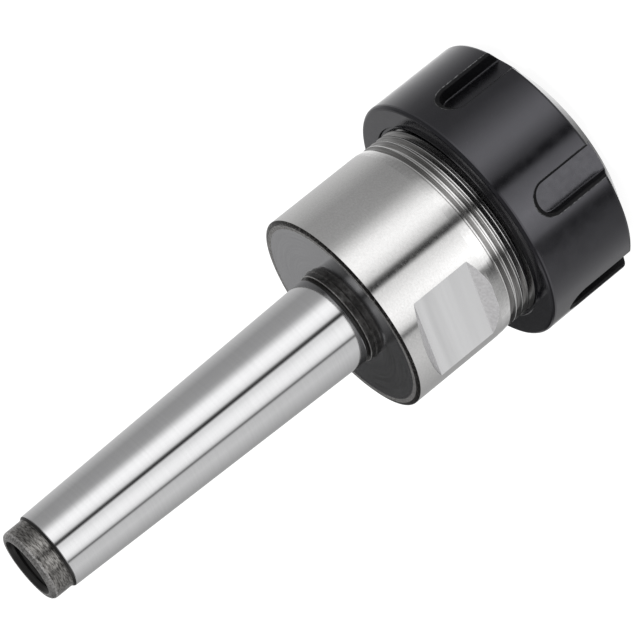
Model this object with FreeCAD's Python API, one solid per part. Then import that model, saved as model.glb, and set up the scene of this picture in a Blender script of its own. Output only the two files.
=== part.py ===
import FreeCAD, Part
import math
import os

# Collet chuck holder: a Morse taper shank and a collet socket turned in one piece,
# a slotted spring collet in the socket, and a round clamping nut on the socket's thread.
# Lengths are in millimetres and angles in degrees. The holder stands on the nut's front
# face with the shank up: Z = 0 is the nut's face, and the two spanner flats face -Y and +Y.

# Clamping nut
nut_diameter = 50.0
nut_length = 22.0
nut_face_diameter = 38.2
nut_bevel_angle = 29.0
nut_back_chamfer = 0.6
nut_rest_angle = -1.2
spanner_slot_count = 6
spanner_slot_width = 7.0
spanner_slot_depth = 3.35
spanner_slot_back_wall = 4.5

# Thread between the nut and the body, drawn as a plain cylinder at its pitch diameter
thread_diameter = 40.0
thread_pitch = 1.5
thread_clearance = 0.04
thread_chamfer = 1.0
nut_shoulder_gap = 0.6
nut_shoulder_bore = 35.0

# Spring collet
collet_diameter = 33.0
collet_length = 40.0
collet_bore = 12.0
collet_half_angle = 8.0
collet_nose_length = 4.0
collet_nose_half_angle = 30.0
collet_rim_length = 1.0
collet_groove_diameter = 29.6
collet_groove_length = 3.2
collet_slot_pairs = 8
collet_slot_width = 1.2
collet_front_web = 5.6
collet_rear_web = 4.0
collet_edge_chamfer = 0.5
collet_recess = 0.6

# Eccentric ring inside the nut, which snaps into the collet's groove and pulls it out
puller_bore = 31.8
puller_offset = 0.8
puller_side_gap = 0.3
puller_length = 2.3
rim_clearance = 0.4
seat_clearance = 0.04

# Body
body_diameter = 40.3
body_back_from_face = 49.15
body_front_from_face = 10.5
body_back_chamfer = 0.55
body_thread_length = 17.0
socket_end_gap = 1.0
socket_mouth_chamfer = 0.5
relief_diameter = 20.0
relief_length = 2.6
drill_point_angle = 118.0
flat_width_across = 36.0
flat_length = 12.1
flat_from_back = 5.35
flat_wall_angle = 45.0

# Shank: Morse taper 2 with a threaded end for a drawbar
shank_gauge_diameter = 17.780
shank_gauge_offset = 5.0
shank_length = 64.0
shank_taper_ratio = 20.020
neck_collar_diameter = 18.8
neck_collar_length = 1.0
neck_groove_diameter = 17.0
neck_groove_length = 1.25
pilot_diameter = 14.0
pilot_length = 4.2
pilot_chamfer = 0.9
drawbar_hole_diameter = 8.5
drawbar_hole_length = 24.0
drawbar_mouth_diameter = 11.2
drawbar_mouth_half_angle = 30.0

# Sizes that follow from the ones above
thread_pitch_diameter = thread_diameter - 0.6495 * thread_pitch
thread_radius = thread_pitch_diameter / 2
nut_thread_radius = thread_radius + thread_clearance
nut_radius = nut_diameter / 2
nut_face_radius = nut_face_diameter / 2
nut_bevel_length = (nut_radius - nut_face_radius) * math.tan(math.radians(nut_bevel_angle))
collet_radius = collet_diameter / 2
collet_slope = math.tan(math.radians(collet_half_angle))
nose_slope = math.tan(math.radians(collet_nose_half_angle))
collet_front = collet_recess
collet_nose_end = collet_front + collet_nose_length
collet_rim_end = collet_nose_end + collet_rim_length
collet_cone_start = collet_rim_end + collet_groove_length
collet_end = collet_front + collet_length
body_radius = body_diameter / 2
gauge_plane = body_back_from_face + neck_collar_length + neck_groove_length + shank_gauge_offset
shank_end = gauge_plane + shank_length


def collet_cone_radius(z):
    """Outer radius of the collet's long cone at height z."""
    return collet_radius - (z - collet_cone_start) * collet_slope


def collet_nose_radius(z):
    """Outer radius of the collet's short front cone at height z."""
    return collet_radius - (collet_nose_end - z) * nose_slope


def taper_radius(z):
    """Radius of the Morse taper at height z."""
    return shank_gauge_diameter / 2 - (z - gauge_plane) / shank_taper_ratio / 2


def turned(outline):
    """Solid of revolution about Z. Each corner is (radius, height)."""
    corners = [FreeCAD.Vector(radius, 0, height) for radius, height in outline]
    face = Part.Face(Part.makePolygon(corners + corners[:1]))
    return face.revolve(FreeCAD.Vector(0, 0, 0), FreeCAD.Vector(0, 0, 1), 360)


def around_axis(shape, count, first_angle):
    """Copies of a shape, spaced evenly around Z."""
    copies = []
    for index in range(count):
        copy = shape.copy()
        copy.rotate(FreeCAD.Vector(0, 0, 0), FreeCAD.Vector(0, 0, 1), first_angle + index * 360 / count)
        copies.append(copy)
    return copies


def make_body():
    """Shank, neck, head, socket and threaded nose: one turned and milled piece."""
    step = body_radius - thread_radius
    thread_end = body_front_from_face + body_thread_length
    groove_start = body_back_from_face + neck_collar_length
    taper_start = groove_start + neck_groove_length
    pilot_start = shank_end - pilot_length
    pilot_radius = pilot_diameter / 2
    taper_end = pilot_start - (taper_radius(pilot_start) - pilot_radius)
    outside = turned([
        (0, body_front_from_face),
        (thread_radius - thread_chamfer, body_front_from_face),
        (thread_radius, body_front_from_face + thread_chamfer),
        (thread_radius, thread_end),
        (body_radius, thread_end + step),
        (body_radius, body_back_from_face - body_back_chamfer),
        (body_radius - body_back_chamfer, body_back_from_face),
        (neck_collar_diameter / 2, body_back_from_face),
        (neck_collar_diameter / 2, groove_start),
        (neck_groove_diameter / 2, groove_start),
        (neck_groove_diameter / 2, taper_start),
        (taper_radius(taper_start), taper_start),
        (taper_radius(taper_end), taper_end),
        (pilot_radius, pilot_start),
        (pilot_radius, shank_end - pilot_chamfer),
        (pilot_radius - pilot_chamfer, shank_end),
        (0, shank_end),
    ])
    body = outside.cut(make_socket())
    body = body.cut(make_drawbar_hole())
    return body.cut(make_flats())


def make_socket():
    """Cutter for the tapered socket, its mouth, and the drilled relief behind the collet."""
    mouth = body_front_from_face
    mouth_radius = collet_cone_radius(mouth) + seat_clearance
    chamfer_end = mouth + socket_mouth_chamfer
    socket_end = collet_end + socket_end_gap
    relief_end = socket_end + relief_length
    relief_radius = relief_diameter / 2
    point_length = relief_radius / math.tan(math.radians(drill_point_angle / 2))
    return turned([
        (0, mouth - 1),
        (mouth_radius + socket_mouth_chamfer, mouth - 1),
        (mouth_radius + socket_mouth_chamfer, mouth),
        (collet_cone_radius(chamfer_end) + seat_clearance, chamfer_end),
        (collet_cone_radius(socket_end) + seat_clearance, socket_end),
        (relief_radius, socket_end),
        (relief_radius, relief_end),
        (0, relief_end + point_length),
    ])


def make_drawbar_hole():
    """Cutter for the hole in the shank's end, at the thread's inner diameter."""
    hole_radius = drawbar_hole_diameter / 2
    mouth_radius = drawbar_mouth_diameter / 2
    mouth_length = (mouth_radius - hole_radius) / math.tan(math.radians(drawbar_mouth_half_angle))
    wall_end = shank_end - mouth_length - drawbar_hole_length
    point_length = hole_radius / math.tan(math.radians(drill_point_angle / 2))
    return turned([
        (0, shank_end + 1),
        (mouth_radius, shank_end + 1),
        (mouth_radius, shank_end),
        (hole_radius, shank_end - mouth_length),
        (hole_radius, wall_end),
        (0, wall_end - point_length),
    ])


def make_flats():
    """Cutters for the two spanner flats, whose end walls lean outwards."""
    floor = flat_width_across / 2
    top = body_radius + 1
    lean = (top - floor) * math.tan(math.radians(flat_wall_angle))
    high = body_back_from_face - flat_from_back
    low = high - flat_length
    corners = [
        FreeCAD.Vector(-body_radius, -floor, low),
        FreeCAD.Vector(-body_radius, -top, low - lean),
        FreeCAD.Vector(-body_radius, -top, high + lean),
        FreeCAD.Vector(-body_radius, -floor, high),
    ]
    face = Part.Face(Part.makePolygon(corners + corners[:1]))
    cutter = face.extrude(FreeCAD.Vector(2 * body_radius, 0, 0))
    return Part.makeCompound(around_axis(cutter, 2, 0))


def make_nut():
    """Clamping nut: bevelled front, threaded back, 30 degree seat and spanner slots."""
    shoulder = body_front_from_face - nut_shoulder_gap
    puller_front = collet_rim_end + puller_side_gap
    puller_back = puller_front + puller_length
    pocket_radius = collet_radius + rim_clearance
    nut_body = turned([
        (0, 0),
        (nut_face_radius, 0),
        (nut_radius, nut_bevel_length),
        (nut_radius, nut_length - nut_back_chamfer),
        (nut_radius - nut_back_chamfer, nut_length),
        (0, nut_length),
    ])
    opening = turned([
        (0, -1),
        (collet_nose_radius(-1) + seat_clearance, -1),
        (collet_nose_radius(collet_nose_end) + seat_clearance, collet_nose_end),
        (pocket_radius, collet_nose_end),
        (pocket_radius, puller_front),
        (0, puller_front),
    ])
    threaded = turned([
        (0, puller_back),
        (nut_shoulder_bore / 2, puller_back),
        (nut_shoulder_bore / 2, shoulder),
        (nut_thread_radius, shoulder),
        (nut_thread_radius, nut_length - thread_chamfer),
        (nut_thread_radius + thread_chamfer, nut_length),
        (nut_thread_radius + thread_chamfer, nut_length + 1),
        (0, nut_length + 1),
    ])
    puller_hole = Part.makeCylinder(puller_bore / 2, puller_back - puller_front + 1,
                                    FreeCAD.Vector(0, puller_offset, puller_front - 0.5))
    nut = nut_body.cut(opening.fuse([threaded, puller_hole]))
    nut = nut.cut(Part.makeCompound(around_axis(spanner_slot(), spanner_slot_count, 0)))
    nut.rotate(FreeCAD.Vector(0, 0, 0), FreeCAD.Vector(0, 0, 1), nut_rest_angle)
    return nut


def spanner_slot():
    """Cutter for one flat-bottomed slot: open at the nut's face, round at its inner end."""
    half_width = spanner_slot_width / 2
    floor = nut_radius - spanner_slot_depth
    reach = spanner_slot_depth + 1
    end_centre = nut_length - spanner_slot_back_wall - half_width
    channel = Part.makeBox(reach, spanner_slot_width, end_centre + 1,
                           FreeCAD.Vector(floor, -half_width, -1))
    round_end = Part.makeCylinder(half_width, reach, FreeCAD.Vector(floor, 0, end_centre),
                                  FreeCAD.Vector(1, 0, 0))
    return channel.fuse(round_end)


def make_collet():
    """Spring collet with a long cone, a groove, a short nose cone and slots from both ends."""
    groove_radius = collet_groove_diameter / 2
    bore_radius = collet_bore / 2
    end_radius = collet_cone_radius(collet_end)
    chamfer = collet_edge_chamfer
    ring = turned([
        (bore_radius + chamfer, collet_front),
        (collet_nose_radius(collet_front), collet_front),
        (collet_radius, collet_nose_end),
        (collet_radius, collet_rim_end),
        (groove_radius, collet_rim_end),
        (groove_radius, collet_cone_start),
        (collet_radius, collet_cone_start),
        (collet_cone_radius(collet_end - chamfer), collet_end - chamfer),
        (end_radius - chamfer, collet_end),
        (bore_radius, collet_end),
        (bore_radius, collet_front + chamfer),
    ])
    front_slot = Part.makeBox(collet_diameter, collet_slot_width,
                              collet_length - collet_rear_web + 1,
                              FreeCAD.Vector(0, -collet_slot_width / 2, collet_front - 1))
    rear_slot = Part.makeBox(collet_diameter, collet_slot_width,
                             collet_length - collet_front_web + 1,
                             FreeCAD.Vector(0, -collet_slot_width / 2, collet_front + collet_front_web))
    half_step = 180 / collet_slot_pairs
    slots = around_axis(front_slot, collet_slot_pairs, 0)
    slots += around_axis(rear_slot, collet_slot_pairs, half_step)
    return ring.cut(slots)


os.makedirs("parts", exist_ok=True)
nodes = {
    "chuck_body": make_body(),
    "clamp_nut": make_nut(),
    "collet": make_collet(),
}
for name, shape in nodes.items():
    solid = shape.Solids[0]
    solid.exportStep("parts/" + name + ".step")
    print(name, "solids", len(shape.Solids), "valid", solid.isValid(), "volume", round(solid.Volume, 1))
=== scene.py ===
# %% [markdown]
# # Collet chuck holder
# The real holder is three pieces of steel. The body is turned from one bar: a Morse taper
# shank, a head with two spanner flats, a threaded nose and a tapered socket. A black round
# nut screws onto the nose, and a slotted spring collet sits between them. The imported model
# gives their sizes, their places and their motion. This script gives them their edges, their
# threads and their finishes, inside the same sizes.

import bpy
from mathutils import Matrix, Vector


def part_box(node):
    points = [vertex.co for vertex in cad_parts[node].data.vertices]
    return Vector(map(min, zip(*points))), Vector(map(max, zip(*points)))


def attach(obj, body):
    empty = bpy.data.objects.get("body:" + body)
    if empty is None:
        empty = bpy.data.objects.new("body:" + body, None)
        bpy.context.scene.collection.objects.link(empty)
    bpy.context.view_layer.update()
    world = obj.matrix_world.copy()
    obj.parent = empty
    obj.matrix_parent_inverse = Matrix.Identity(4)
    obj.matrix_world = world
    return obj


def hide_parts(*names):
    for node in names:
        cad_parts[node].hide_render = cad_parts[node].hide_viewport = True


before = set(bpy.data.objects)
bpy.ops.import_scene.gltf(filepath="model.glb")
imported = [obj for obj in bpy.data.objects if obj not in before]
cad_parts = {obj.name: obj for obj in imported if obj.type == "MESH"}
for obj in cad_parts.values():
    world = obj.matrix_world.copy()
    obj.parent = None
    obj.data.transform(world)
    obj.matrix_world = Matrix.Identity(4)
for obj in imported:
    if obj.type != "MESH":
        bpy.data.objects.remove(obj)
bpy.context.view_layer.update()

# %% Modules and units
import math
from types import SimpleNamespace

import bmesh
import bpy
from mathutils import Matrix, Vector

MM = 0.001
scene = bpy.context.scene

# %% [markdown]
# ## Camera
# The photograph looks down on the chuck from the side of its flats, rolled so that the shank
# runs to the lower left corner. A camera can be aimed with a Track To constraint, but that
# fixes the roll. Here its three axes are written as a rotation, which holds the roll too.
# The long lens keeps the two ends of the chuck nearly the same scale.

# %% Camera
camera_place = Vector((0.43244, -0.43244, 0.23563))
camera_right = Vector((-0.28775827, -0.60078264, -0.74582531))
camera_up = Vector((0.67869390, 0.42152538, -0.60140747))
camera_back = Vector((0.67569947, -0.67924706, 0.28645009))

camera_data = bpy.data.cameras.new("camera")
camera_data.lens = 206.14
camera_data.sensor_width = 36
camera = bpy.data.objects.new("camera", camera_data)
camera_turn = Matrix((camera_right, camera_up, camera_back)).transposed()
camera.matrix_world = Matrix.Translation(camera_place) @ camera_turn.to_4x4()
scene.collection.objects.link(camera)
scene.camera = camera
camera_azimuth = math.degrees(math.atan2(camera_place.y, camera_place.x))
print("camera azimuth", round(camera_azimuth, 1), "distance", round(camera_place.length, 3))

# %% [markdown]
# ## Turning
# Almost every surface of the chuck was made on a lathe, so the script works as a lathe does.
# Half of the outline is drawn as a chain of edges in the XZ plane, its corners are broken
# with a vertex bevel, and bmesh.ops.spin carries it round Z. A Screw modifier would do the
# same, but a finished mesh can be cut afterwards. Each outline is a list of
# (radius, height, edge break) in millimetres, and most corners have no break.

# %% Outline and spin
columns = 192
large_break = 0.3
weld_distance = 0.001 * MM


def join_up(bm, corners):
    """An edge from each corner to the next."""
    for first, second in zip(corners, corners[1:]):
        bm.edges.new((first, second))


def draw_outline(bm, outline):
    """Chain of edges through the outline's corners, with each edge break rounded."""
    corners = [bm.verts.new((point[0] * MM, 0, point[1] * MM)) for point in outline]
    join_up(bm, corners)
    for corner, point in zip(corners, outline):
        if len(point) > 2:
            segments = 4 if point[2] > large_break else 2
            bmesh.ops.bevel(bm, geom=[corner], offset=point[2] * MM, segments=segments,
                            profile=0.5, affect="VERTICES", material=-1)


def turned(outline):
    """A bmesh of the outline, spun a full turn round Z and closed at its poles."""
    bm = bmesh.new()
    draw_outline(bm, outline)
    bmesh.ops.spin(bm, geom=bm.verts[:] + bm.edges[:], cent=(0, 0, 0), axis=(0, 0, 1),
                   angle=math.tau, steps=columns, use_merge=True)
    bmesh.ops.remove_doubles(bm, verts=bm.verts, dist=weld_distance)
    bmesh.ops.recalc_face_normals(bm, faces=bm.faces)
    return bm


def as_object(name, bm):
    """A mesh object at the origin, with the bmesh's shape."""
    mesh = bpy.data.meshes.new(name)
    bm.to_mesh(mesh)
    bm.free()
    piece = bpy.data.objects.new(name, mesh)
    scene.collection.objects.link(piece)
    return piece


# %% [markdown]
# ## Milling
# The spanner flats and the nut's slots are milled into the turned pieces. Faces could be moved
# by hand, but a Boolean modifier does what the cutter does, whatever its form. It is applied
# at once, and the cutter's own material index marks the milled faces, so that they can get
# their own finish.

# %% Cut with a Boolean
MILLED = 1


def milled(piece, cutter):
    """Takes the cutter's volume out of the piece and deletes the cutter."""
    for polygon in cutter.data.polygons:
        polygon.material_index = MILLED
    cut = piece.modifiers.new("cut", "BOOLEAN")
    cut.operation = "DIFFERENCE"
    cut.solver = "EXACT"
    cut.object = cutter
    evaluated = piece.evaluated_get(bpy.context.evaluated_depsgraph_get())
    mesh = bpy.data.meshes.new_from_object(evaluated)
    piece.modifiers.clear()
    old_mesh = piece.data
    piece.data = mesh
    bpy.data.meshes.remove(old_mesh)
    bpy.data.objects.remove(cutter)


def around_axis(bm, count, first_angle):
    """Copies everything in the bmesh round Z, evenly spaced, and turns the whole set."""
    bmesh.ops.spin(bm, geom=bm.verts[:] + bm.edges[:] + bm.faces[:], cent=(0, 0, 0),
                   axis=(0, 0, 1), angle=math.tau * (count - 1) / count, steps=count - 1,
                   use_duplicate=True)
    bmesh.ops.rotate(bm, verts=bm.verts, cent=(0, 0, 0),
                     matrix=Matrix.Rotation(math.radians(first_angle), 3, "Z"))


# %% [markdown]
# ## Exact normals
# Polished steel shows every error in a normal. Where the Boolean splits a round surface into
# uneven faces, averaged normals bend the reflections, and a Weighted Normal modifier only
# bends them less. A turned face has a known normal: it leans from the axis as the face does,
# and points along the radius of each of its corners. So the script writes these normals
# itself. A large milled face is a plane and gets its own normal all over. The small ones
# between keep Blender's, smooth up to an angle.

# %% Normals of a turned surface
turned_sharp_angle = 30
plane_area = (1.2 * MM) ** 2
pole_radius = 0.01 * MM


def radial_part(place):
    """The part of a place that leads straight away from the axis."""
    return Vector((place.x, place.y, 0))


def shade_by_angle(piece, limit):
    """Smooth shading, broken at edges that turn by more than the limit in degrees."""
    for polygon in piece.data.polygons:
        polygon.use_smooth = True
    piece.data.set_sharp_from_angle(angle=math.radians(limit))


def set_turned_normals(piece):
    """Gives each corner of the turned faces the normal of the round surface there."""
    shade_by_angle(piece, turned_sharp_angle)
    mesh = piece.data
    normals = [corner.vector.copy() for corner in mesh.corner_normals]
    for polygon in mesh.polygons:
        if polygon.material_index == MILLED:
            if polygon.area > plane_area:
                for corner in polygon.loop_indices:
                    normals[corner] = polygon.normal
            continue
        centre = radial_part(polygon.center)
        outward = polygon.normal.dot(centre.normalized())
        for corner, index in zip(polygon.loop_indices, polygon.vertices):
            radial = radial_part(mesh.vertices[index].co)
            if radial.length < pole_radius:
                radial = centre
            normal = radial.normalized() * outward + Vector((0, 0, polygon.normal.z))
            normals[corner] = normal.normalized()
    mesh.normals_split_custom_set(normals)


# %% [markdown]
# ## Sizes
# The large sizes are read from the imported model, so the finished pieces can't leave it. The
# others are those of the real pieces, and each is given where it is first needed.

# %% Sizes from the frame, in millimetres
body_low, body_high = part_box("chuck_body")
nut_low, nut_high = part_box("clamp_nut")
collet_low, collet_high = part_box("collet")

shank_end = body_high.z / MM
nose_end = body_low.z / MM
head_radius = body_high.x / MM
nut_radius = nut_high.x / MM
nut_length = nut_high.z / MM
collet_front = collet_low.z / MM
collet_back = collet_high.z / MM
collet_radius = collet_high.x / MM
print("shank end", shank_end, "head", head_radius, "nut", nut_radius, nut_length)

# %% [markdown]
# ## Holder body
# The body is one turned piece. Its shank is a Morse taper 2, 17.78 mm wide at the gauge plane,
# and ends in a plain pilot. The outline could be split into a cylinder here and a cone there,
# but one closed outline leaves no seams. It starts on the axis at the bottom of the socket,
# comes out of the mouth, goes up the outside to the shank's end, and goes down the drawbar
# hole back to the axis. Below the head it steps in, to leave room for the threaded sleeve.
# The edges are the small breaks of real turned work: 0.15 mm where a file touched them, more
# where a chamfer was turned. The head's back edge is worn to a shallow slope with a speckled
# ring beside it, so it has points of its own.

# %% Head, neck and shank
head_back = 49.15
edge_width = 0.8
edge_drop = 0.26
speckled_ring = 0.8
collar_radius = 9.3
collar_length = 1.3
groove_radius = 8.5
groove_length = 0.65
gauge_radius = 8.89
gauge_height = 56.4
taper_ratio = 20.020
pilot_radius = 7.0
pilot_length = 4.2
pilot_chamfer = 0.9


def taper_radius(height):
    """Radius of the Morse taper at a height."""
    return gauge_radius - (height - gauge_height) / taper_ratio / 2


groove_start = head_back + collar_length
taper_start = groove_start + groove_length
pilot_start = shank_end - pilot_length
taper_end = pilot_start - (taper_radius(pilot_start) - pilot_radius)
print("taper from", round(taper_start, 2), "to", round(taper_end, 2))

# %% Socket and drawbar hole
socket_clearance = 0.04
cone_start = collet_front + 8.2
cone_slope = math.tan(math.radians(8))
socket_end = collet_back + 1.0
relief_radius = 10.0
relief_length = 2.6
hole_radius = 4.25
hole_mouth_radius = 5.6
hole_length = 24.0
hole_thread_length = 20.0
hole_sleeve_radius = 5.05
mouth_slope = 1 / math.tan(math.radians(30))
point_slope = 1 / math.tan(math.radians(59))


def cone_radius(height):
    """Radius of the collet's long cone at a height."""
    return collet_radius - (height - cone_start) * cone_slope


mouth_depth = (hole_mouth_radius - hole_radius) * mouth_slope
sleeve_depth = (hole_mouth_radius - hole_sleeve_radius) * mouth_slope
hole_thread_low = shank_end - mouth_depth - hole_thread_length
hole_floor = shank_end - mouth_depth - hole_length
print("socket from", round(nose_end, 2), "to", round(socket_end, 2))

# %% Holder body, turned
sleeve_radius = 18.9
thread_start = 29.7
body_outline = [
    (0, socket_end + relief_length + relief_radius * point_slope),
    (relief_radius, socket_end + relief_length),
    (relief_radius, socket_end),
    (cone_radius(socket_end) + socket_clearance, socket_end),
    (cone_radius(nose_end) + socket_clearance, nose_end, 0.3),
    (sleeve_radius, nose_end),
    (sleeve_radius, thread_start),
    (head_radius, thread_start),
    (head_radius, head_back - edge_drop, 0.08),
    (head_radius - edge_width / 2, head_back - edge_drop / 3),
    (head_radius - edge_width, head_back),
    (head_radius - edge_width - speckled_ring, head_back),
    (collar_radius, head_back, 0.2),
    (collar_radius, groove_start, 0.15),
    (groove_radius, groove_start),
    (groove_radius, taper_start),
    (taper_radius(taper_start), taper_start, 0.2),
    (taper_radius(taper_end), taper_end, 0.15),
    (pilot_radius, pilot_start, 0.3),
    (pilot_radius, shank_end, pilot_chamfer),
    (hole_mouth_radius, shank_end, 0.12),
    (hole_sleeve_radius, shank_end - sleeve_depth),
    (hole_sleeve_radius, hole_thread_low),
    (hole_radius, hole_thread_low),
    (hole_radius, hole_floor),
    (0, hole_floor - hole_radius * point_slope),
]
holder_body = as_object("holder_body", turned(body_outline))
print("holder body", len(holder_body.data.polygons), "faces")

# %% [markdown]
# The two flats take a 36 mm spanner. Their end walls lean back at 45 degrees, as a milling
# cutter's chamfer leaves them, so a plain box won't do as the cutter. It is a trapezium that
# is extruded along X, and a copy of it stands on the other side.

# %% Spanner flats
flat_distance = 18.0
flat_setback = 5.35
flat_length = 12.1
flat_high = head_back - flat_setback
flat_low = flat_high - flat_length
cutter_reach = head_radius + 1
wall_run = cutter_reach - flat_distance


def prism(corners, length):
    """A bmesh of a flat outline in the YZ plane, extruded both ways along X."""
    bm = bmesh.new()
    face = bm.faces.new([bm.verts.new((-length * MM, y * MM, z * MM)) for y, z in corners])
    grown = bmesh.ops.extrude_face_region(bm, geom=[face])["geom"]
    moved = [item for item in grown if isinstance(item, bmesh.types.BMVert)]
    bmesh.ops.translate(bm, verts=moved, vec=(2 * length * MM, 0, 0))
    bmesh.ops.recalc_face_normals(bm, faces=bm.faces)
    return bm


flat_outline = [
    (-flat_distance, flat_low),
    (-cutter_reach, flat_low - wall_run),
    (-cutter_reach, flat_high + wall_run),
    (-flat_distance, flat_high),
]
flat_cutter = prism(flat_outline, head_radius)
around_axis(flat_cutter, 2, 0)
milled(holder_body, as_object("flat_cutter", flat_cutter))
set_turned_normals(holder_body)
print("holder body", len(holder_body.data.polygons), "faces with its flats")

# %% [markdown]
# ## Threads
# A screw thread is one groove that winds round the nose. A Screw modifier can wind it, but
# can't let it fade out at its end. Spin winds too when it is given a step along the axis: one
# pitch of the thread's outline is spun for many turns, and each turn's last edge lies on the
# next turn's first edge. The ends are then cut square and closed with a plain inner or outer
# wall, so each thread is a sleeve without gaps.

# %% Helical strip
thread_pitch = 1.5
thread_phase = -65.0
turn_steps = 120


def helical_strip(outline, first_height, turns):
    """One pitch of an outline of (radius, height), wound round Z as a right-hand thread."""
    bm = bmesh.new()
    offset_layer = bm.verts.layers.float.new("offset")
    corners = []
    for radius, height in outline:
        corner = bm.verts.new((radius * MM, 0, (first_height + height) * MM))
        corner[offset_layer] = height
        corners.append(corner)
    join_up(bm, corners)
    bmesh.ops.rotate(bm, verts=bm.verts, cent=(0, 0, 0),
                     matrix=Matrix.Rotation(math.radians(thread_phase), 3, "Z"))
    bmesh.ops.spin(bm, geom=bm.verts[:] + bm.edges[:], cent=(0, 0, 0), axis=(0, 0, 1),
                   dvec=(0, 0, thread_pitch * MM / turn_steps), angle=math.tau * turns,
                   steps=turn_steps * turns, use_merge=False)
    return bm


# %% Square ends and a plain wall
strip_weld_distance = 0.0005 * MM
rim_tolerance = 0.001 * MM


def move_to_radius(vertex, radius, height):
    """Puts a vertex at a radius and a height in millimetres, in the direction it has."""
    radial = radial_part(vertex.co).normalized() * radius * MM
    vertex.co = (radial.x, radial.y, height * MM)


def close_sleeve(bm, low, high, wall_radius):
    """Cuts the strip off at two heights and closes it with a plain wall."""
    for height, direction in ((low, -1), (high, 1)):
        bmesh.ops.bisect_plane(bm, geom=bm.verts[:] + bm.edges[:] + bm.faces[:],
                               plane_co=(0, 0, height * MM), plane_no=(0, 0, direction),
                               clear_outer=True)
    bmesh.ops.remove_doubles(bm, verts=bm.verts, dist=strip_weld_distance)
    walls = []
    for height in (low, high):
        rim = [edge for edge in bm.edges if edge.is_boundary
               and all(abs(v.co.z - height * MM) < rim_tolerance for v in edge.verts)]
        grown = bmesh.ops.extrude_edge_only(bm, edges=rim)["geom"]
        for vertex in (item for item in grown if isinstance(item, bmesh.types.BMVert)):
            move_to_radius(vertex, wall_radius, height)
        walls += [item for item in grown if isinstance(item, bmesh.types.BMEdge)]
    bmesh.ops.bridge_loops(bm, edges=walls)
    bmesh.ops.recalc_face_normals(bm, faces=bm.faces)


# %% [markdown]
# The nose has an M40 thread with a pitch of 1.5 mm. Its groove fades out under the head,
# because the threading tool is drawn back there: the floor rises over a little more than half
# a turn, and the flanks close up. A plain end wall would be simpler, but the photograph shows
# this run-out. The crest grows to the head's own radius over a longer way, so the two surfaces
# meet without a step.

# %% Threaded nose, sizes and outline
thread_radius = 20.0
crest_flat = thread_pitch / 8
flank_slope = math.tan(math.radians(30))
groove_half = (thread_pitch - crest_flat) / 2
groove_depth = 0.92
floor_half = groove_half - groove_depth * flank_slope
thread_rounding = 0.015
crest_clearance = 0.015
crest_radius = thread_radius - crest_clearance
runout_high = 28.2
runout_length = 0.85
crest_blend_length = 2.0
nose_outline = [
    (crest_radius, -thread_pitch / 2),
    (crest_radius - thread_rounding, -groove_half),
    (crest_radius - groove_depth + thread_rounding, -floor_half),
    (crest_radius - groove_depth, 0),
    (crest_radius - groove_depth + thread_rounding, floor_half),
    (crest_radius - thread_rounding, groove_half),
    (crest_radius, thread_pitch / 2),
]
print("groove", round(2 * groove_half, 3), "wide and", groove_depth, "deep")

# %% Threaded nose
nose_turns = 15
wall_overlap = 0.3
thread_sharp_angle = 25
offset_tolerance = 0.001


def share(value):
    """A value kept between 0 and 1."""
    return min(max(value, 0.0), 1.0)


def fade_groove(bm):
    """Lets the groove run out under the head, and grows the crest to the head's radius."""
    offset_layer = bm.verts.layers.float["offset"]
    for vertex in bm.verts:
        offset = vertex[offset_layer]
        centre_height = vertex.co.z / MM - offset
        height = centre_height + offset
        fade = share((runout_high - centre_height) / runout_length)
        blend = share((thread_start - height) / crest_blend_length)
        radius = head_radius + (crest_radius - head_radius) * blend
        if abs(offset) < floor_half + offset_tolerance:
            rounding = thread_rounding if abs(offset) > offset_tolerance else 0
            radius -= (groove_depth - rounding) * fade
        elif abs(offset) < groove_half + offset_tolerance:
            radius -= thread_rounding * fade
            half = floor_half + groove_depth * fade * flank_slope
            height = centre_height + math.copysign(half, offset)
        move_to_radius(vertex, radius, height)
    bmesh.ops.remove_doubles(bm, verts=bm.verts, dist=strip_weld_distance)


nose_bm = helical_strip(nose_outline, nose_end - thread_pitch, nose_turns)
fade_groove(nose_bm)
close_sleeve(nose_bm, nose_end, thread_start, sleeve_radius - wall_overlap)
nose_thread = as_object("nose_thread", nose_bm)
shade_by_angle(nose_thread, thread_sharp_angle)
print("nose thread", len(nose_thread.data.polygons), "faces")

# %% [markdown]
# The drawbar's thread in the shank's end is an inner one, so its ridge points to the axis.
# It is the same strip with its outline the other way out, inside a sleeve of the bore. Where
# the hole opens to its mouth, the ridge is pushed out to the mouth's cone.

# %% Drawbar thread
hole_groove_radius = 5.0
ridge_flat = thread_pitch / 4
ridge_half = ridge_flat / 2 + (hole_groove_radius - hole_radius) * flank_slope
hole_outline = [
    (hole_groove_radius, -thread_pitch / 2),
    (hole_groove_radius, -ridge_half),
    (hole_radius, -ridge_flat / 2),
    (hole_radius, ridge_flat / 2),
    (hole_groove_radius, ridge_half),
    (hole_groove_radius, thread_pitch / 2),
]
hole_turns = 17
hole_thread_high = shank_end - sleeve_depth - 0.05


def open_mouth(bm, cone, largest):
    """Pushes a ridge out to its mouth: cone gives the mouth's radius at a height."""
    for vertex in bm.verts:
        radius = radial_part(vertex.co).length / MM
        height = vertex.co.z / MM
        move_to_radius(vertex, max(radius, min(cone(height), largest)), height)


hole_bm = helical_strip(hole_outline, hole_thread_low - thread_pitch, hole_turns)
open_mouth(hole_bm, lambda height: hole_mouth_radius - (shank_end - height) / mouth_slope,
           hole_groove_radius)
close_sleeve(hole_bm, hole_thread_low, hole_thread_high, hole_sleeve_radius + wall_overlap)
drawbar_thread = as_object("drawbar_thread", hole_bm)
shade_by_angle(drawbar_thread, thread_sharp_angle)
print("drawbar thread", len(drawbar_thread.data.polygons), "faces")

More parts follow.
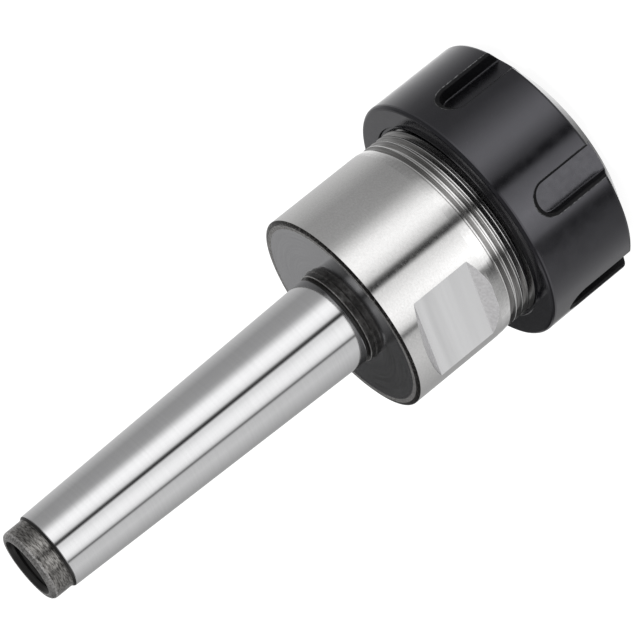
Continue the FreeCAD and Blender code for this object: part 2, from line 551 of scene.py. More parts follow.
# %% [markdown]
# ## Clamping nut
# The nut is turned too: a plain cylinder with a long bevel at the front and a rounded back
# edge. Inside it has the 30 degree seat for the collet's nose and an eccentric ring, which
# snaps into the collet's groove and pulls the collet out of the socket as the nut is
# unscrewed. The ring is hidden and isn't round on the nut's axis, so it is left out here, and
# the whole nut is one spin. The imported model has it.

# %% Nut, turned
nut_face_radius = 19.1
nut_bevel_length = (nut_radius - nut_face_radius) * math.tan(math.radians(29))
nut_bore_radius = 20.45
bore_mouth_width = 0.15
bore_mouth_depth = 0.4
shoulder_radius = 17.5
shoulder_height = nose_end - 0.6
pocket_radius = collet_radius + 0.4
ring_back = collet_front + 7.6
seat_end = collet_front + 4.0
seat_slope = math.tan(math.radians(30))


def seat_radius(height):
    """Radius of the nut's seat at a height."""
    return collet_radius - (seat_end - height) * seat_slope + socket_clearance


nut_outline = [
    (seat_radius(0), 0),
    (nut_face_radius, 0, 0.5),
    (nut_radius, nut_bevel_length, 0.3),
    (nut_radius, nut_length, 0.8),
    (nut_bore_radius + bore_mouth_width, nut_length, 0.1),
    (nut_bore_radius, nut_length - bore_mouth_depth),
    (nut_bore_radius, shoulder_height),
    (shoulder_radius, shoulder_height),
    (shoulder_radius, ring_back),
    (pocket_radius, ring_back),
    (pocket_radius, seat_end),
    (seat_radius(seat_end), seat_end),
    (seat_radius(0), 0),
]
clamping_nut = as_object("clamping_nut", turned(nut_outline))
print("clamping nut", len(clamping_nut.data.polygons), "faces")

# %% [markdown]
# Six slots for a hook spanner are milled into the nut, open at the front and round at the
# back. A round cutter left a small fillet along each floor, and the rim was then chamfered,
# wider at the round end than along the sides. A box with a cylinder at its end would give the
# slot alone. This cutter has the whole form: a closed outline that is extruded from the slot's
# floor outwards in steps, a little wider at each. The last steps follow the nut's round
# surface, so the chamfer is equally deep along the slot.

# %% Spanner slot, sizes and steps
slot_half_width = 2.95
slot_reach = 2.7
slot_floor = nut_radius - 3.0
slot_fillet = 0.3
slot_rim = 0.55
slot_end_rim = 1.0
slot_rim_depth = 0.5
slot_wear_and_highlight = 0.12
slot_setback = 4.4
slot_end_centre = nut_length - slot_setback - slot_reach - slot_end_rim
cutter_top = nut_radius + 3


def slot_steps():
    """The cutter's outlines from the slot's floor outwards: half the width, the reach of the
    round end, and the distance from the axis for each Y."""
    for angle in (0, 30, 60, 90):
        inwards = slot_fillet * (1 - math.sin(math.radians(angle)))
        level = slot_floor + slot_fillet * (1 - math.cos(math.radians(angle)))
        yield SimpleNamespace(half=slot_half_width - inwards, reach=slot_reach - inwards,
                              distance=lambda y, level=level: level)
    for part in (0, 1 - slot_wear_and_highlight / slot_rim, 1, 2):
        lift = (part - 1) * slot_rim_depth
        yield SimpleNamespace(
            half=slot_half_width + part * slot_rim, reach=slot_reach + part * slot_end_rim,
            distance=lambda y, lift=lift: lift + math.sqrt(nut_radius ** 2 - y ** 2))
    yield SimpleNamespace(half=slot_half_width + 2 * slot_rim,
                          reach=slot_reach + 2 * slot_end_rim, distance=lambda y: cutter_top)


print(len(list(slot_steps())), "steps from the slot's floor to the cutter's top")

# %% Spanner slot cutter
slot_arc_steps = 40
cutter_overrun = 2


def stretch_end(vertex, factor):
    """Moves a vertex of the slot's round end along Z, away from the end's centre."""
    centre = slot_end_centre * MM
    if vertex.co.z > centre:
        vertex.co.z = centre + (vertex.co.z - centre) * factor


def slot_step(bm, face, old, new):
    """Extrudes the cutter's face from an old outline to a new one."""
    grown = bmesh.ops.extrude_face_region(bm, geom=[face] + face.edges[:])["geom"]
    for vertex in (item for item in grown if isinstance(item, bmesh.types.BMVert)):
        vertex.co.y *= new.half / old.half
        stretch_end(vertex, new.reach / old.reach)
        vertex.co.x = new.distance(vertex.co.y / MM) * MM
    return next(item for item in grown if isinstance(item, bmesh.types.BMFace))


def slot_cutter():
    """A bmesh of one slot's cutter: a bar with a round end, from the floor outwards."""
    bm = bmesh.new()
    steps = list(slot_steps())
    first = steps[0]
    start = bm.verts.new((slot_floor * MM, -first.half * MM, slot_end_centre * MM))
    bmesh.ops.spin(bm, geom=[start], cent=(slot_floor * MM, 0, slot_end_centre * MM),
                   axis=(-1, 0, 0), angle=math.pi, steps=slot_arc_steps)
    for vertex in bm.verts:
        stretch_end(vertex, first.reach / first.half)
    arc_ends = [vertex for vertex in bm.verts
                if abs(vertex.co.z - slot_end_centre * MM) < rim_tolerance]
    low_ends = [bm.verts.new((v.co.x, v.co.y, -cutter_overrun * MM)) for v in arc_ends]
    for arc_end, low_end in zip(arc_ends, low_ends):
        bm.edges.new((arc_end, low_end))
    bm.edges.new(low_ends)
    face = bmesh.ops.contextual_create(bm, geom=bm.edges[:])["faces"][0]
    for old, new in zip(steps, steps[1:]):
        face = slot_step(bm, face, old, new)
    bmesh.ops.recalc_face_normals(bm, faces=bm.faces)
    return bm


# %% Spanner slots
slot_count = 6
nut_rest_angle = -1.2
slots = slot_cutter()
around_axis(slots, slot_count, nut_rest_angle)
milled(clamping_nut, as_object("slot_cutter", slots))
set_turned_normals(clamping_nut)
print("clamping nut", len(clamping_nut.data.polygons), "faces with its slots")

# %% [markdown]
# The nut's own thread fills the gap between its bore and the nose. A plain bore would leave
# the nose's groove open to view from the back. The ridge stands in the groove with a small
# clearance, and both wind from the same phase, so they stay in mesh while the nut turns and
# the body rises by one pitch a turn.

# %% Nut thread
nut_major_radius = 20.05
nut_minor_radius = 19.19
flank_clearance = 0.06


def ridge_half_width(radius):
    """Half the thickness of the nut's ridge at a radius."""
    return groove_half - (crest_radius - radius) * flank_slope - flank_clearance


nut_thread_outline = [
    (nut_major_radius, -thread_pitch / 2),
    (nut_major_radius, -ridge_half_width(nut_major_radius)),
    (nut_minor_radius, -ridge_half_width(nut_minor_radius)),
    (nut_minor_radius, ridge_half_width(nut_minor_radius)),
    (nut_major_radius, ridge_half_width(nut_major_radius)),
    (nut_major_radius, thread_pitch / 2),
]
nut_turns = 12
nut_wall_overlap = 0.2
nut_thread_low = shoulder_height + 0.02
nut_thread_high = nut_length - 0.35
nut_mouth_low = nut_thread_high - 0.9
nut_thread_bm = helical_strip(nut_thread_outline, nose_end - 2 * thread_pitch, nut_turns)
open_mouth(nut_thread_bm, lambda height: nut_minor_radius + (height - nut_mouth_low),
           nut_major_radius)
close_sleeve(nut_thread_bm, nut_thread_low, nut_thread_high, nut_bore_radius + nut_wall_overlap)
nut_thread = as_object("nut_thread", nut_thread_bm)
shade_by_angle(nut_thread, thread_sharp_angle)
print("nut thread", len(nut_thread.data.polygons), "faces")

# %% [markdown]
# ## Finishes
# Every finish is made of nodes, in the object's own coordinates, so it stays on the metal in
# every view. Each starts from a plain shader, and noise then varies its colour, its roughness
# and its relief. Image textures could do this too, but noise has no seams and no largest size.

# %% A plain finish, and noise in its own coordinates
def shader_of(finish):
    """The shader node of a finish."""
    return finish.node_tree.nodes["Principled BSDF"]


def new_finish(name, color, metallic, roughness):
    """A material with the given plain values on its shader."""
    finish = bpy.data.materials.new(name)
    finish.use_nodes = True
    shader = shader_of(finish)
    shader.inputs["Base Color"].default_value = (*color, 1)
    shader.inputs["Metallic"].default_value = metallic
    shader.inputs["Roughness"].default_value = roughness
    return finish


def noise_at(finish, place, scale, detail):
    """Noise at a place, with features of 1 / scale metres along X, Y and Z."""
    nodes, links = finish.node_tree.nodes, finish.node_tree.links
    mapping = nodes.new("ShaderNodeMapping")
    mapping.inputs["Scale"].default_value = scale
    noise = nodes.new("ShaderNodeTexNoise")
    noise.inputs["Scale"].default_value = 1.0
    noise.inputs["Detail"].default_value = detail
    links.new(place, mapping.inputs["Vector"])
    links.new(mapping.outputs["Vector"], noise.inputs["Vector"])
    return noise.outputs["Fac"]


def grain(finish, scale, detail=2.0):
    """Noise on the metal, with features of 1 / scale metres along X, Y and Z."""
    place = finish.node_tree.nodes.new("ShaderNodeTexCoord")
    return noise_at(finish, place.outputs["Object"], scale, detail)


# %% Lines that a lathe tool leaves
radius_share = 1.7


def lathe_lines(finish, line_width, line_length, detail=2.0):
    """Noise drawn out into lines round the axis, in millimetres. Height tells the lines apart
    on a cylinder and radius does so on a face, so the noise follows a sum of both."""
    nodes, links = finish.node_tree.nodes, finish.node_tree.links
    place = nodes.new("ShaderNodeTexCoord")
    split = nodes.new("ShaderNodeSeparateXYZ")
    flat = nodes.new("ShaderNodeCombineXYZ")
    radius = nodes.new("ShaderNodeVectorMath")
    radius.operation = "LENGTH"
    across = nodes.new("ShaderNodeMath")
    across.operation = "MULTIPLY_ADD"
    across.inputs[1].default_value = radius_share
    joined = nodes.new("ShaderNodeCombineXYZ")
    links.new(place.outputs["Object"], split.inputs[0])
    for axis in ("X", "Y"):
        links.new(split.outputs[axis], flat.inputs[axis])
        links.new(split.outputs[axis], joined.inputs[axis])
    links.new(flat.outputs[0], radius.inputs[0])
    links.new(radius.outputs["Value"], across.inputs[0])
    links.new(split.outputs["Z"], across.inputs[2])
    links.new(across.outputs[0], joined.inputs["Z"])
    along = 1 / (line_length * MM)
    return noise_at(finish, joined.outputs[0], (along, along, 1 / (line_width * MM)), detail)


# %% Colour, roughness and relief from a noise
noise_low = 0.3
noise_high = 0.7


def set_stops(ramp, stops):
    """Fills a color ramp from a list of (position, color)."""
    elements = ramp.color_ramp.elements
    for index, (position, color) in enumerate(stops):
        stop = elements[index] if index < 2 else elements.new(position)
        stop.position = position
        stop.color = (*color, 1)


def tone(finish, fac, dark, light, low=noise_low, high=noise_high):
    """Base colour between two tones."""
    links = finish.node_tree.links
    ramp = finish.node_tree.nodes.new("ShaderNodeValToRGB")
    set_stops(ramp, [(low, dark), (high, light)])
    links.new(fac, ramp.inputs[0])
    links.new(ramp.outputs["Color"], shader_of(finish).inputs["Base Color"])


def dullness(finish, fac, low, high):
    """Roughness between two values."""
    links = finish.node_tree.links
    spread = finish.node_tree.nodes.new("ShaderNodeMapRange")
    spread.inputs["From Min"].default_value = noise_low
    spread.inputs["From Max"].default_value = noise_high
    spread.inputs["To Min"].default_value = low
    spread.inputs["To Max"].default_value = high
    links.new(fac, spread.inputs["Value"])
    links.new(spread.outputs["Result"], shader_of(finish).inputs["Roughness"])


def relief(finish, fac, depth, strength):
    """Bump of a depth in millimetres."""
    links = finish.node_tree.links
    bump = finish.node_tree.nodes.new("ShaderNodeBump")
    bump.inputs["Strength"].default_value = strength
    bump.inputs["Distance"].default_value = depth * MM
    links.new(fac, bump.inputs["Height"])
    links.new(bump.outputs["Normal"], shader_of(finish).inputs["Normal"])


# %% [markdown]
# ### Bright steel
# The taper is ground and polished, so its reflections have crisp edges. The head is only fine
# turned: its bands are a little softer, and specks break them up. The thread's crests are
# about as bright as the head, and its flanks are greyer. One plain grey could do for all four,
# but these small differences tell the machines apart.

# %% Ground taper, turned head and thread
ground_taper = new_finish("ground_taper", (0.72, 0.72, 0.73), 1.0, 0.06)
tone(ground_taper, lathe_lines(ground_taper, 0.4, 12), (0.705, 0.705, 0.712),
     (0.735, 0.735, 0.742))
dullness(ground_taper, grain(ground_taper, (400, 400, 120)), 0.05, 0.09)
relief(ground_taper, grain(ground_taper, (900, 900, 2500)), 0.001, 0.15)

turned_head = new_finish("turned_head", (0.725, 0.72, 0.715), 1.0, 0.10)
tone(turned_head, grain(turned_head, (2200, 2200, 3200), 3), (0.695, 0.69, 0.685),
     (0.765, 0.76, 0.755))
dullness(turned_head, grain(turned_head, (1500, 1500, 2500), 3), 0.07, 0.13)
relief(turned_head, grain(turned_head, (3000, 3000, 3600), 2), 0.002, 0.3)

thread_crest = new_finish("thread_crest", (0.76, 0.755, 0.75), 1.0, 0.13)
tone(thread_crest, grain(thread_crest, (1800, 1800, 1800), 3), (0.70, 0.695, 0.69),
     (0.82, 0.815, 0.81))
dullness(thread_crest, lathe_lines(thread_crest, 0.2, 6), 0.07, 0.13)

thread_flank = new_finish("thread_flank", (0.60, 0.595, 0.59), 1.0, 0.20)
tone(thread_flank, lathe_lines(thread_flank, 0.15, 8, 3), (0.32, 0.316, 0.312),
     (0.66, 0.655, 0.65))
dullness(thread_flank, grain(thread_flank, (1500, 1500, 1500), 3), 0.12, 0.20)
print(len(bpy.data.materials), "materials so far")

# %% [markdown]
# ### Milled flats
# An end mill ran across the flats in a few passes. The soft bands that the passes' waves
# reflect are painted into the colour as a painted reflection, each a little different in
# brightness, side by side along the axis. Noise would scatter them, so a colour ramp over the
# flat's height gives each band its place. The leaning walls show the same mill's edge as a
# finer, speckled grain.

# %% Milled flats
milled_flat = new_finish("milled_flat", (0.86, 0.86, 0.87), 1.0, 0.18)
flat_nodes, flat_links = milled_flat.node_tree.nodes, milled_flat.node_tree.links
flat_place = flat_nodes.new("ShaderNodeTexCoord")
flat_split = flat_nodes.new("ShaderNodeSeparateXYZ")
pass_place = flat_nodes.new("ShaderNodeMapRange")
pass_place.inputs["From Min"].default_value = flat_low * MM
pass_place.inputs["From Max"].default_value = flat_high * MM
# Painted reflection: the brightness bands of the milling passes are written into the base colour.
painted_pass_bands = flat_nodes.new("ShaderNodeValToRGB")
blue_share = 1.008
pass_reflection_tones = [(0.0, 0.98), (0.12, 0.99), (0.34, 0.95), (0.40, 0.99), (0.62, 0.99), (0.70, 0.91),
              (0.80, 0.87), (0.88, 0.94), (1.0, 0.92)]
set_stops(painted_pass_bands, [(position, (level, level, level * blue_share))
                   for position, level in pass_reflection_tones])
flat_links.new(flat_place.outputs["Object"], flat_split.inputs[0])
flat_links.new(flat_split.outputs["Z"], pass_place.inputs["Value"])
flat_links.new(pass_place.outputs["Result"], painted_pass_bands.inputs[0])
flat_links.new(painted_pass_bands.outputs["Color"], shader_of(milled_flat).inputs["Base Color"])
dullness(milled_flat, grain(milled_flat, (60, 60, 900), 3), 0.14, 0.22)

milled_wall = new_finish("milled_wall", (0.86, 0.85, 0.86), 1.0, 0.3)
tone(milled_wall, grain(milled_wall, (1800, 1800, 1800), 4), (0.76, 0.75, 0.76),
     (0.94, 0.93, 0.94))
relief(milled_wall, grain(milled_wall, (900, 1800, 1800), 3), 0.012, 0.3)
print(len(pass_reflection_tones), "stops across a flat,", len(bpy.data.materials), "materials so far")

# %% [markdown]
# ### Dull steel
# The head's back was faced on the lathe, which leaves rings round the shank. Its edge was
# broken by hand and is rough and nearly black, with pale specks, and the narrow rims of the
# collar and the pilot are worn grey. The pilot end was left as turned, dark and scratched. The
# collar beside the neck's groove is dark and scratched too, partly its own dark skin and partly
# painted shade. The bores, the neck's groove, the step at the taper's end and the corner at the
# collar's foot are painted nearly black as painted shade, because little light gets into them.
# Wear could be painted on by hand, but every place here is a ring, so each ring has a finish of
# its own.

# %% Faced back, worn edge and worn rims
faced_back = new_finish("faced_back", (0.45, 0.45, 0.465), 1.0, 0.13)
tone(faced_back, lathe_lines(faced_back, 0.45, 14, 3), (0.42, 0.42, 0.432), (0.48, 0.48, 0.492))
dullness(faced_back, lathe_lines(faced_back, 0.3, 8), 0.10, 0.17)
relief(faced_back, lathe_lines(faced_back, 0.55, 30, 1), 0.004, 0.25)

worn_edge = new_finish("worn_edge", (0.08, 0.078, 0.075), 1.0, 0.30)
tone(worn_edge, grain(worn_edge, (2600, 2600, 2600), 3), (0.04, 0.038, 0.036),
     (0.40, 0.39, 0.38), 0.52, 0.74)
relief(worn_edge, grain(worn_edge, (3000, 3000, 3000), 2), 0.02, 0.5)

worn_rim = new_finish("worn_rim", (0.60, 0.59, 0.58), 1.0, 0.42)
tone(worn_rim, grain(worn_rim, (2600, 2600, 2600), 3), (0.34, 0.33, 0.32), (0.84, 0.83, 0.82))
dullness(worn_rim, grain(worn_rim, (1800, 1800, 1800), 3), 0.32, 0.5)
relief(worn_rim, grain(worn_rim, (2400, 2400, 2400), 2), 0.03, 0.5)
print(len(bpy.data.materials), "materials so far")

# %% Neck, pilot end and bores
# The collar beside the neck's groove is painted dark, partly its own dark skin and partly painted
# shade.
neck_oxide_and_shade = new_finish("neck_oxide_and_shade", (0.16, 0.155, 0.15), 1.0, 0.30)
tone(neck_oxide_and_shade, grain(neck_oxide_and_shade, (900, 900, 1800), 3), (0.09, 0.086, 0.083),
     (0.24, 0.235, 0.23))
dullness(neck_oxide_and_shade, grain(neck_oxide_and_shade, (1500, 1500, 2500), 3), 0.24, 0.36)
relief(neck_oxide_and_shade, lathe_lines(neck_oxide_and_shade, 0.3, 4), 0.006, 0.25)

pilot_steel = new_finish("pilot_steel", (0.18, 0.175, 0.17), 1.0, 0.22)
tone(pilot_steel, lathe_lines(pilot_steel, 0.2, 0.9, 3), (0.075, 0.072, 0.069),
     (0.32, 0.312, 0.30), 0.36, 0.64)
dullness(pilot_steel, grain(pilot_steel, (1200, 1200, 1200), 3), 0.16, 0.27)
relief(pilot_steel, lathe_lines(pilot_steel, 0.2, 0.8, 3), 0.02, 0.4)

# Painted shade: nearly black steel for the bores, the neck's groove and the other recesses.
painted_shade_steel = new_finish("painted_shade_steel", (0.10, 0.098, 0.096), 1.0, 0.4)
tone(painted_shade_steel, lathe_lines(painted_shade_steel, 0.3, 10, 3), (0.07, 0.069, 0.068), (0.14, 0.138, 0.136))
print(len(bpy.data.materials), "materials so far")

# %% [markdown]
# ### Black oxide
# The nut was blackened in a hot bath. The layer is thin and hard, so it takes over the fine
# grain of the metal below, stays black where light falls on it, and shines like glass at a low
# angle. That is a dielectric with a high index of refraction rather than a metal. A few pale
# specks of dust and wear lie on it. The slots were milled before the blackening, and their
# floors are a little duller than the turned outside.

# %% Black oxide outside and on the slots' floors
oxide_ior = 1.85
oxide_shine = (0.93, 0.92, 1.0)


def oxide_finish(name, roughness):
    """A black skin with a hard gloss and a few pale specks."""
    finish = new_finish(name, (0.003, 0.003, 0.004), 0.0, roughness)
    shader_of(finish).inputs["IOR"].default_value = oxide_ior
    shader_of(finish).inputs["Specular Tint"].default_value = (*oxide_shine, 1)
    tone(finish, grain(finish, (3000, 3000, 3000), 2), (0.0025, 0.0025, 0.0035),
         (0.03, 0.03, 0.033), 0.66, 0.82)
    return finish


black_oxide = oxide_finish("black_oxide", 0.13)
dullness(black_oxide, grain(black_oxide, (500, 500, 500), 4), 0.10, 0.17)
relief(black_oxide, grain(black_oxide, (4200, 4200, 4200), 2), 0.004, 0.3)

slot_oxide = oxide_finish("slot_oxide", 0.26)
dullness(slot_oxide, grain(slot_oxide, (900, 900, 900), 3), 0.22, 0.32)
relief(slot_oxide, grain(slot_oxide, (3600, 3600, 3600), 2), 0.002, 0.25)
print(len(bpy.data.materials), "materials so far")

# %% [markdown]
# The slots' walls and broken edges are matt, so they stay black at any angle. Only the
# outermost line of each edge is grey metal. It is partly wear back to the metal and partly a
# painted highlight along the edge. A bevel shader could find edges by itself, but it slows the
# render and doesn't export.

# %% Oxide on the slots' walls and edges
matt_oxide = new_finish("matt_oxide", (0.004, 0.004, 0.005), 0.0, 0.5)
shader_of(matt_oxide).inputs["Specular IOR Level"].default_value = 0.25
tone(matt_oxide, grain(matt_oxide, (2500, 2500, 2500), 3), (0.002, 0.002, 0.003),
     (0.008, 0.008, 0.009))
dullness(matt_oxide, grain(matt_oxide, (1500, 1500, 1500), 2), 0.42, 0.6)

# Partly painted highlight: the grey outermost line of each slot's edge stands for wear and for an
# edge highlight.
worn_oxide_and_highlight = new_finish("worn_oxide_and_highlight", (0.30, 0.30, 0.31), 1.0, 0.4)
tone(worn_oxide_and_highlight, grain(worn_oxide_and_highlight, (1500, 1500, 1500), 3), (0.05, 0.05, 0.052),
     (0.24, 0.24, 0.247), 0.35, 0.65)
dullness(worn_oxide_and_highlight, grain(worn_oxide_and_highlight, (1800, 1800, 1800), 2), 0.32, 0.5)
print(len(bpy.data.materials), "materials so far")

# %% [markdown]
# ### Spring steel
# The collet is ground after hardening, a little darker than the taper, with fine lines round
# its axis. A new mesh could give it finer edges, but only its front end can be seen, so it
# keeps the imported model's shape.

# %% Spring steel of the collet
collet_steel = new_finish("collet_steel", (0.55, 0.55, 0.56), 1.0, 0.15)
tone(collet_steel, lathe_lines(collet_steel, 0.3, 20), (0.50, 0.50, 0.51), (0.60, 0.60, 0.61))
dullness(collet_steel, grain(collet_steel, (600, 600, 600), 3), 0.12, 0.22)
print(len(bpy.data.materials), "materials")

# %% [markdown]
# ## Which face gets which finish
# A turned piece has its finishes by height and radius, so each face is given the finish of
# the place where its centre lies. Faces could be picked by hand in the editor, but then every
# change of the outline would lose them. The way a face points helps where its place isn't
# enough: a thread's flanks point along the axis, and a slot's floor points outwards.

# %% Dress a piece
def dress(piece, finishes, choose):
    """Puts finishes on a piece: choose(face) names the one of a face."""
    mesh = piece.data
    cut_faces = [polygon.material_index == MILLED for polygon in mesh.polygons]
    mesh.materials.clear()
    for finish in finishes:
        mesh.materials.append(finish)
    for polygon, was_milled in zip(mesh.polygons, cut_faces):
        radial = radial_part(polygon.center)
        face = SimpleNamespace(radius=radial.length / MM, height=polygon.center.z / MM,
                               outward=polygon.normal.dot(radial.normalized()),
                               upward=polygon.normal.z, milled=was_milled)
        polygon.material_index = finishes.index(choose(face))
    print(piece.name, "has", len(finishes), "finishes")


# %% Finishes of the holder's body
height_tolerance = 0.01
seam_margin = 0.05
collar_fillet = 0.25
collar_rim = 0.2
rim_outward = 0.1
collar_seam = 0.1
edge_margin = 0.1


def body_finish(face):
    """The finish of a face of the holder's body, from the shank's end downwards."""
    if face.milled:
        return milled_flat if flat_low < face.height < flat_high else milled_wall
    if face.radius < hole_mouth_radius or face.height < thread_start - height_tolerance:
        return painted_shade_steel
    if face.height > shank_end - pilot_chamfer + seam_margin:
        return worn_rim
    if face.height > pilot_start:
        return pilot_steel
    if face.height > taper_end - seam_margin:
        return painted_shade_steel
    if face.height > taper_start:
        return ground_taper
    if face.height > groove_start + height_tolerance:
        return painted_shade_steel
    return head_finish(face)


def head_finish(face):
    """The finish of a face of the collar or the head."""
    if face.radius < collar_radius + collar_fillet and face.height > head_back:
        on_rim = face.height > groove_start - collar_rim and face.outward > rim_outward
        return worn_rim if on_rim else neck_oxide_and_shade
    if face.radius < collar_radius + collar_seam:
        return painted_shade_steel
    if face.height < head_back - edge_drop - edge_margin:
        return turned_head
    if face.radius > head_radius - edge_width:
        return worn_edge
    return worn_rim if face.radius > head_radius - edge_width - speckled_ring else faced_back


dress(holder_body, [ground_taper, turned_head, milled_flat, milled_wall, faced_back, worn_edge,
                    worn_rim, neck_oxide_and_shade, pilot_steel, painted_shade_steel], body_finish)

# %% Finishes of the other pieces
flank_upward = 0.3
slot_wall_start = slot_floor + 1
slot_floor_outward = 0.2
slot_rim_outward = 0.9


def thread_finish(face):
    """The crest and the root are about as bright as the head, and the flanks are greyer."""
    return thread_flank if abs(face.upward) > flank_upward else thread_crest


def nut_finish(face):
    """The finish of a face of the clamping nut."""
    if not face.milled:
        return black_oxide
    needed = slot_rim_outward if face.radius > slot_wall_start else slot_floor_outward
    if face.outward > needed:
        return slot_oxide
    return worn_oxide_and_highlight if face.radius > nut_radius - slot_wear_and_highlight else matt_oxide


dress(nose_thread, [thread_crest, thread_flank], thread_finish)
dress(drawbar_thread, [painted_shade_steel], lambda face: painted_shade_steel)
dress(clamping_nut, [black_oxide, slot_oxide, matt_oxide, worn_oxide_and_highlight], nut_finish)
dress(nut_thread, [black_oxide], lambda face: black_oxide)
dress(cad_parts["collet"], [collet_steel], lambda face: collet_steel)

# %% [markdown]
# ## What moves with what
# The body's pieces ride on the chuck body, and the nut's on the clamp nut. The frame moves
# them at the other poses, where the body turns and rises out of the nut. Parenting by hand
# would do the same, but the frame also writes down which piece stands for which node.

# %% Riding
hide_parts("chuck_body")
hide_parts("clamp_nut")
for piece in (holder_body, nose_thread, drawbar_thread):
    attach(piece, "chuck_body")
for piece in (clamping_nut, nut_thread):
    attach(piece, "clamp_nut")

# %% [markdown]
# ## Light tent
# Polished steel is bright or dark only by what it mirrors, so the tent's walls decide how the
# chuck looks. A world could mirror a picture of a studio. Here a colour ramp round the horizon
# draws the tent instead, because each panel and each gap is then one stop with a place of its
# own. Two narrow gaps are dark, the panels beside them bright. The foot of the walls has a
# list of its own, because the nut mirrors it and the steel above doesn't. Above the walls the
# tent is dim, so faces that lean upwards turn grey, and straight up and straight down there is
# just enough light to keep steel from turning black. A softbox and a dark card stand where the
# leaning end walls of the front flat mirror them.

# %% Panels round the horizon
tent_walls = [
    (-80, 0.62), (-70, 0.58), (-60, 0.49), (-50, 0.37), (-40, 0.38), (-33, 0.41), (-29, 0.50),
    (-25, 0.78), (-20, 1.18), (-15, 1.28), (-10, 1.21), (-6, 1.0), (-4.0, 0.76), (-2.4, 0.20),
    (-1.0, 0.05), (0.5, 0.04), (1.7, 0.46), (2.8, 0.88), (6, 0.96), (10, 1.12), (15, 1.20),
    (20, 1.16), (24, 0.96), (26.2, 0.66), (27.8, 0.22), (29, 0.20), (30.4, 0.56), (32, 0.68),
    (44, 0.73), (60, 0.54), (72, 0.42), (80, 0.40),
]
tent_foot = [
    (-87.5, 1.30), (-80, 0.99), (-72, 0.89), (-56, 0.37), (-48, 0.26), (-40, 0.25), (-32, 0.30),
    (-24, 0.66), (-16, 1.24), (-12, 1.25), (-8, 0.80), (-6, 0.52), (-4, 0.37), (-2, 0.10),
    (0, 0.06), (1, 0.15), (2, 0.57), (3, 0.88), (4, 1.0), (8, 1.25), (16, 1.8), (22, 1.3),
    (26, 1.0), (27.5, 0.45), (30, 0.16), (32, 0.10), (34, 0.18), (40, 0.36), (48, 0.40),
    (64, 0.68), (80, 0.28), (89, 1.20),
]
ceiling_edge = [(-90, 0.45), (-80, 0.44), (-60, 0.26), (-32, 0.10), (-24, 0.40), (-10, 0.55),
                (-4, 0.20), (0, 0.04), (4, 0.20), (20, 0.40), (34, 0.25), (50, 0.15), (70, 0.06),
                (80, 0.04), (88.5, 0.12), (90, 0.02)]
print(len(tent_walls), "panels and gaps,", len(tent_foot), "below them and",
      len(ceiling_edge), "above")

# %% World and its helpers
world = bpy.data.worlds.new("light_tent")
scene.world = world
world.use_nodes = True
tent_nodes, tent_links = world.node_tree.nodes, world.node_tree.links
tent_nodes.clear()


def feed(socket, value):
    """Gives a socket a number or a link."""
    if isinstance(value, (int, float)):
        socket.default_value = value
    else:
        tent_links.new(value, socket)


def tent_math(operation, *values):
    """A Math node whose inputs are sockets or numbers."""
    math_node = tent_nodes.new("ShaderNodeMath")
    math_node.operation = operation
    for socket, value in zip(math_node.inputs, values):
        feed(socket, value)
    return math_node.outputs[0]


def rise(value, low, high):
    """Grows smoothly from 0 to 1 while a value goes from low to high."""
    spread = tent_nodes.new("ShaderNodeMapRange")
    spread.interpolation_type = "SMOOTHSTEP"
    spread.inputs["From Min"].default_value = low
    spread.inputs["From Max"].default_value = high
    tent_links.new(value, spread.inputs["Value"])
    return spread.outputs["Result"]


def blend_levels(amount, first, second):
    """A brightness between two others."""
    mix = tent_nodes.new("ShaderNodeMix")
    tent_links.new(amount, mix.inputs["Factor"])
    feed(mix.inputs["A"], first)
    feed(mix.inputs["B"], second)
    return mix.outputs["Result"]


# %% Brightness of the tent by direction
seen = tent_nodes.new("ShaderNodeTexCoord").outputs["Generated"]
seen_split = tent_nodes.new("ShaderNodeSeparateXYZ")
tent_links.new(seen, seen_split.inputs[0])
seen_height = seen_split.outputs["Z"]
seen_azimuth = tent_math("ARCTAN2", seen_split.outputs["Y"], seen_split.outputs["X"])
seen_turn = tent_math("MULTIPLY_ADD", seen_azimuth, -1 / math.tau, 0.5 + camera_azimuth / 360)
seen_turn = tent_math("FLOORED_MODULO", seen_turn, 1.0)


def level_ramp(stops):
    """Brightness round the horizon. A stop's angle is that of the steel facing it, either side
    of the camera, and light comes off the steel at twice that angle."""
    ramp = tent_nodes.new("ShaderNodeValToRGB")
    tent_links.new(seen_turn, ramp.inputs[0])
    set_stops(ramp, [(0.5 + 2 * angle / 360, (level, level, level)) for angle, level in stops])
    return ramp.outputs["Color"]


def near(towards, full_angle, edge_angle):
    """1 close to a direction and 0 far from it, with a soft edge between two angles."""
    likeness = tent_nodes.new("ShaderNodeVectorMath")
    likeness.operation = "DOT_PRODUCT"
    tent_links.new(seen, likeness.inputs[0])
    likeness.inputs[1].default_value = Vector(towards).normalized()
    return rise(likeness.outputs["Value"], math.cos(math.radians(edge_angle)),
                math.cos(math.radians(full_angle)))


# %% Foot, walls, ceiling, softbox and dark card
wall_bottom = (-0.34, -0.315)
wall_top = (0.0, 0.14)
zenith_edge = (0.34, 0.55)
zenith_level = 0.18
nadir_edge = (-0.85, -0.72)
nadir_level = 0.30
softbox_direction = (-0.68, -0.29, 0.68)
softbox_angles = (9, 18)
softbox_level = 0.68
dark_card_direction = (-0.68, 0.29, -0.68)
dark_card_angles = (15, 22)
dark_card_level = 0.08

tent_level = blend_levels(rise(seen_height, *wall_bottom), level_ramp(tent_foot),
                          level_ramp(tent_walls))
tent_level = blend_levels(rise(seen_height, *wall_top), tent_level, level_ramp(ceiling_edge))
tent_level = blend_levels(rise(seen_height, *zenith_edge), tent_level, zenith_level)
tent_level = blend_levels(rise(seen_height, *nadir_edge), nadir_level, tent_level)
tent_level = blend_levels(near(softbox_direction, *softbox_angles), tent_level, softbox_level)
tent_level = blend_levels(near(dark_card_direction, *dark_card_angles), tent_level,
                          dark_card_level)

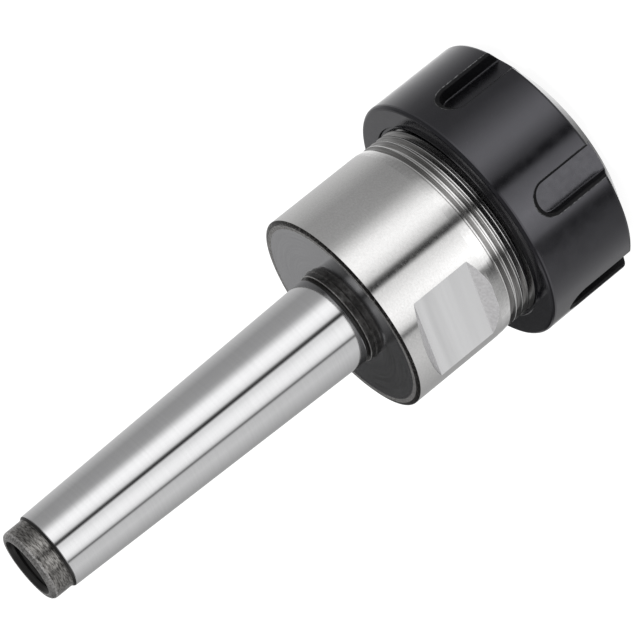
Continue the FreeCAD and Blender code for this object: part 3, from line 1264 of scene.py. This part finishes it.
# %% [markdown]
# Only reflections show the tent. Matt surfaces get a plain even light, because the tent's
# bright panels would be too much for them, and the camera sees white behind the chuck. Light
# Path tells these rays apart. Real walls and lamps would do too, but each of them would light
# the matt surfaces as well.

# %% Tent for reflections, plain light for the rest
plain_level = 0.6
white_level = 1.0
path = tent_nodes.new("ShaderNodeLightPath")


def background(level):
    """White light of a strength."""
    light = tent_nodes.new("ShaderNodeBackground")
    light.inputs["Color"].default_value = (1, 1, 1, 1)
    feed(light.inputs["Strength"], level)
    return light.outputs[0]


def for_rays(kind, chosen, others):
    """One background for a kind of ray and another for the others."""
    mix = tent_nodes.new("ShaderNodeMixShader")
    tent_links.new(path.outputs[kind], mix.inputs[0])
    tent_links.new(others, mix.inputs[1])
    tent_links.new(chosen, mix.inputs[2])
    return mix.outputs[0]


lit = for_rays("Is Glossy Ray", background(tent_level), background(plain_level))
lit = for_rays("Is Camera Ray", background(white_level), lit)
world_output = tent_nodes.new("ShaderNodeOutputWorld")
tent_links.new(lit, world_output.inputs[0])
print("world has", len(tent_nodes), "nodes")

# %% [markdown]
# ## Floor
# The floor is pale and matt. The photograph's ground is pure white, so the floor also glows a
# little, but only for the camera, and the chuck gets no more light from it. The soft shadow
# below the nut stays.

# %% Floor
floor_radius = 3.0
floor_glow_level = 0.94
floor_bm = bmesh.new()
bmesh.ops.create_circle(floor_bm, cap_ends=True, segments=64, radius=floor_radius)
floor = as_object("floor", floor_bm)
pale_floor = new_finish("pale_floor", (0.20, 0.20, 0.20), 0.0, 0.9)
tone(pale_floor, grain(pale_floor, (40, 40, 40), 3), (0.195, 0.195, 0.195), (0.205, 0.205, 0.205))
floor_nodes, floor_links = pale_floor.node_tree.nodes, pale_floor.node_tree.links
floor_path = floor_nodes.new("ShaderNodeLightPath")
floor_shader = shader_of(pale_floor)
floor_shader.inputs["Emission Color"].default_value = (1, 1, 1, 1)
floor_glow = floor_nodes.new("ShaderNodeMath")
floor_glow.operation = "MULTIPLY"
floor_glow.inputs[1].default_value = floor_glow_level
floor_links.new(floor_path.outputs["Is Camera Ray"], floor_glow.inputs[0])
floor_links.new(floor_glow.outputs[0], floor_shader.inputs["Emission Strength"])
floor.data.materials.append(pale_floor)
floor.visible_glossy = False

# %% [markdown]
# ## Lamps
# Two large soft lamps give the matt surfaces their light. A sun lamp would be simpler, but its
# shadow is hard. The lamps don't show in the polished steel, because the tent alone is
# mirrored there.

# %% Lamps
lamp_size = 0.6
chuck_middle = Vector((0, 0, 0.05))


def soft_lamp(name, place, power):
    """An area lamp that points at the chuck's middle and shows in no reflection."""
    data = bpy.data.lights.new(name, "AREA")
    data.shape = "DISK"
    data.size = lamp_size
    data.energy = power
    lamp = bpy.data.objects.new(name, data)
    aim = chuck_middle - Vector(place)
    lamp.matrix_world = (Matrix.Translation(place)
                         @ aim.to_track_quat("-Z", "Y").to_matrix().to_4x4())
    lamp.visible_glossy = False
    scene.collection.objects.link(lamp)


soft_lamp("key_lamp", (0.5, -0.2, 0.9), 6)
soft_lamp("fill_lamp", (-0.3, -0.8, 0.7), 3)
print(len(bpy.data.lights), "lamps")

scene.view_settings.view_transform = "Standard"
